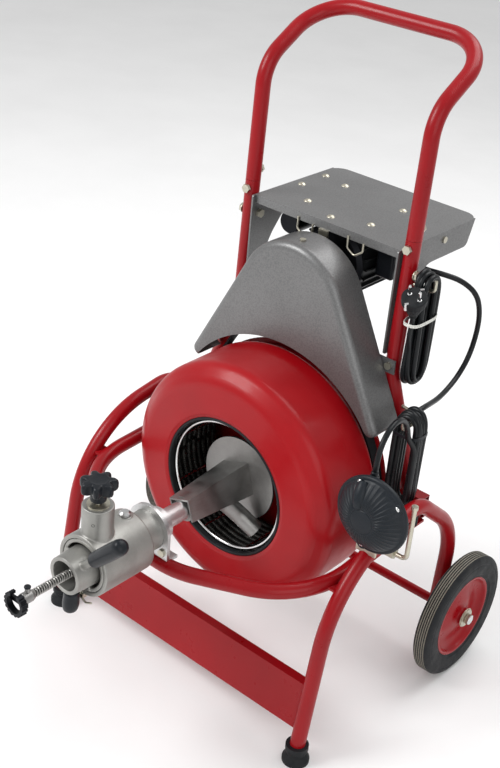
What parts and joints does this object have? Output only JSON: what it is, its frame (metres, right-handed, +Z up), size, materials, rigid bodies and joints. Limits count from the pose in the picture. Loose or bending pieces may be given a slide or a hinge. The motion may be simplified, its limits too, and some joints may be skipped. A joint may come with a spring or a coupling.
{
  "type": "drain snake machine",
  "caption": "Wheeled drum machine for clearing drains: red tube frame with push handle, belt-driven cable drum, hand feed unit, guarded motor under a tray, foot switch.",
  "frame": {"origin": "on the ground, midway between the wheels and midway along the machine", "axes": "+Z up, -Y towards the feed unit and cable end, +X towards the foot switch side"},
  "size_m": [0.686, 0.855, 1.0564],
  "materials": {
    "red_paint": "gloss",
    "grey_hammertone": "hammertone",
    "cast_alloy": "cast",
    "turned_alloy": "satin",
    "plain_steel": "satin",
    "zinc_steel": "zinc plated",
    "chrome_wire": "polished",
    "black_rubber": "matt",
    "tyre_rubber": "matt",
    "black_plastic": "matt",
    "black_metal": "satin",
    "motor_case": "black painted casting",
    "cable_steel": "oiled spring steel"
  },
  "bodies": {
    "frame": {"side_frame_left": "red_paint", "side_frame_right": "red_paint", "lower_frame_tube": "red_paint", "handle_loop": "red_paint", "crossbar": "red_paint", "rubber_feet": "black_rubber", "axle_rod": "red_paint", "axle_hardware": "zinc_steel", "frame_struts": "red_paint", "drum_crossmember": "red_paint", "drum_shaft": "plain_steel", "motor_tray": "grey_hammertone", "sheet_screws": "zinc_steel", "belt_guard": "grey_hammertone", "guard_backplate": "grey_hammertone", "drive_belt": "black_rubber", "motor_housing": "motor_case", "motor_covers": "black_metal", "motor_mount": "zinc_steel", "terminal_box": "black_plastic", "feed_bracket": "turned_alloy", "frame_bolts": "zinc_steel", "feed_body": "cast_alloy", "feed_trim": "zinc_steel", "roller_pins": "plain_steel", "pedal_base": "black_plastic", "zinc_brackets": "zinc_steel", "cord_hooks": "zinc_steel", "power_cord": "black_rubber", "power_cord_hank": "black_rubber", "mains_plug": "black_rubber", "air_hose": "black_rubber", "air_hose_hank": "black_rubber"},
    "drum": {"drum_front_shell": "red_paint", "drum_rear_shell": "red_paint", "drum_hub": "plain_steel", "drum_lip_trim": "black_rubber", "cage_ring_and_rods": "chrome_wire", "stored_cable_coil": "cable_steel"},
    "distributor": {"distributor_disc": "plain_steel", "distributor_arm": "plain_steel", "guide_tube": "turned_alloy"},
    "cable": {"drain_cable": "cable_steel", "cable_coupling": "plain_steel", "cutter_head": "black_metal"},
    "feed_nose": {"feed_nose": "cast_alloy", "lever_grips": "black_plastic"},
    "clamp_knob": {"star_knob": "black_plastic"},
    "plunger": {"lock_plunger": "turned_alloy"},
    "roller_1": {"feed_roller_1": "plain_steel"},
    "roller_2": {"feed_roller_2": "plain_steel"},
    "roller_3": {"feed_roller_3": "plain_steel"},
    "motor_rotor": {"motor_pulley": "black_metal"},
    "wheel_left": {"tyre_left": "tyre_rubber", "rim_left": "red_paint"},
    "wheel_right": {"tyre_right": "tyre_rubber", "rim_right": "red_paint"},
    "pedal": {"pedal_dome": "black_rubber"},
    "swing_rod": {"swing_rod": "zinc_steel"}
  },
  "joints": [
    {"name": "drum_spin", "type": "hinge", "parent": "frame", "child": "drum", "pos_m": [0, 0.1, 0.338], "axis": [0, 1, 0], "continuous": true},
    {"name": "distributor_spin", "type": "hinge", "parent": "frame", "child": "distributor", "pos_m": [0, 0, 0.338], "axis": [0, 1, 0], "continuous": true},
    {"name": "cable_spin", "type": "hinge", "parent": "frame", "child": "cable", "pos_m": [0, -0.3, 0.338], "axis": [0, 1, 0], "continuous": true},
    {"name": "nose_turn", "type": "hinge", "parent": "frame", "child": "feed_nose", "pos_m": [0, -0.3, 0.338], "axis": [0, 1, 0], "range_deg": [-30, 30]},
    {"name": "knob_turn", "type": "hinge", "parent": "frame", "child": "clamp_knob", "pos_m": [0, -0.264, 0.46], "axis": [0, 0, 1], "range_deg": [-360, 0]},
    {"name": "plunger_lift", "type": "slide", "parent": "frame", "child": "plunger", "axis": [0, 0, 1], "range_m": [0, 0.005], "stiffness_N_per_m": 300},
    {"name": "motor_spin", "type": "hinge", "parent": "frame", "child": "motor_rotor", "pos_m": [0, 0.2, 0.676], "axis": [0, 1, 0], "continuous": true},
    {"name": "wheel_left_spin", "type": "hinge", "parent": "frame", "child": "wheel_left", "pos_m": [-0.315, 0.289, 0.112], "axis": [1, 0, 0], "continuous": true},
    {"name": "wheel_right_spin", "type": "hinge", "parent": "frame", "child": "wheel_right", "pos_m": [0.315, 0.289, 0.112], "axis": [1, 0, 0], "continuous": true},
    {"name": "pedal_press", "type": "slide", "parent": "frame", "child": "pedal", "axis": [0, 1, 0], "range_m": [0, 0.0035], "stiffness_N_per_m": 2000},
    {"name": "rod_swing", "type": "hinge", "parent": "frame", "child": "swing_rod", "pos_m": [0.27, 0.118, 0.302], "axis": [1, 0, 0], "range_deg": [-70, 45]},
    {"name": "roller_1_spin", "type": "hinge", "parent": "frame", "child": "roller_1", "pos_m": [0, -0.267, 0.3544], "axis": [0, 1, 0], "continuous": true},
    {"name": "roller_2_spin", "type": "hinge", "parent": "frame", "child": "roller_2", "pos_m": [-0.0142, -0.267, 0.3298], "axis": [0, 1, 0], "continuous": true},
    {"name": "roller_3_spin", "type": "hinge", "parent": "frame", "child": "roller_3", "pos_m": [0.0142, -0.267, 0.3298], "axis": [0, 1, 0], "continuous": true}
  ],
  "couplings": [
    {"joint": "distributor_spin", "follows": "drum_spin", "ratio": 1},
    {"joint": "cable_spin", "follows": "drum_spin", "ratio": 1},
    {"joint": "motor_spin", "follows": "drum_spin", "ratio": 6.9643},
    {"joint": "roller_1_spin", "follows": "drum_spin", "ratio": -0.6},
    {"joint": "roller_2_spin", "follows": "drum_spin", "ratio": -0.6},
    {"joint": "roller_3_spin", "follows": "drum_spin", "ratio": -0.6}
  ]
}
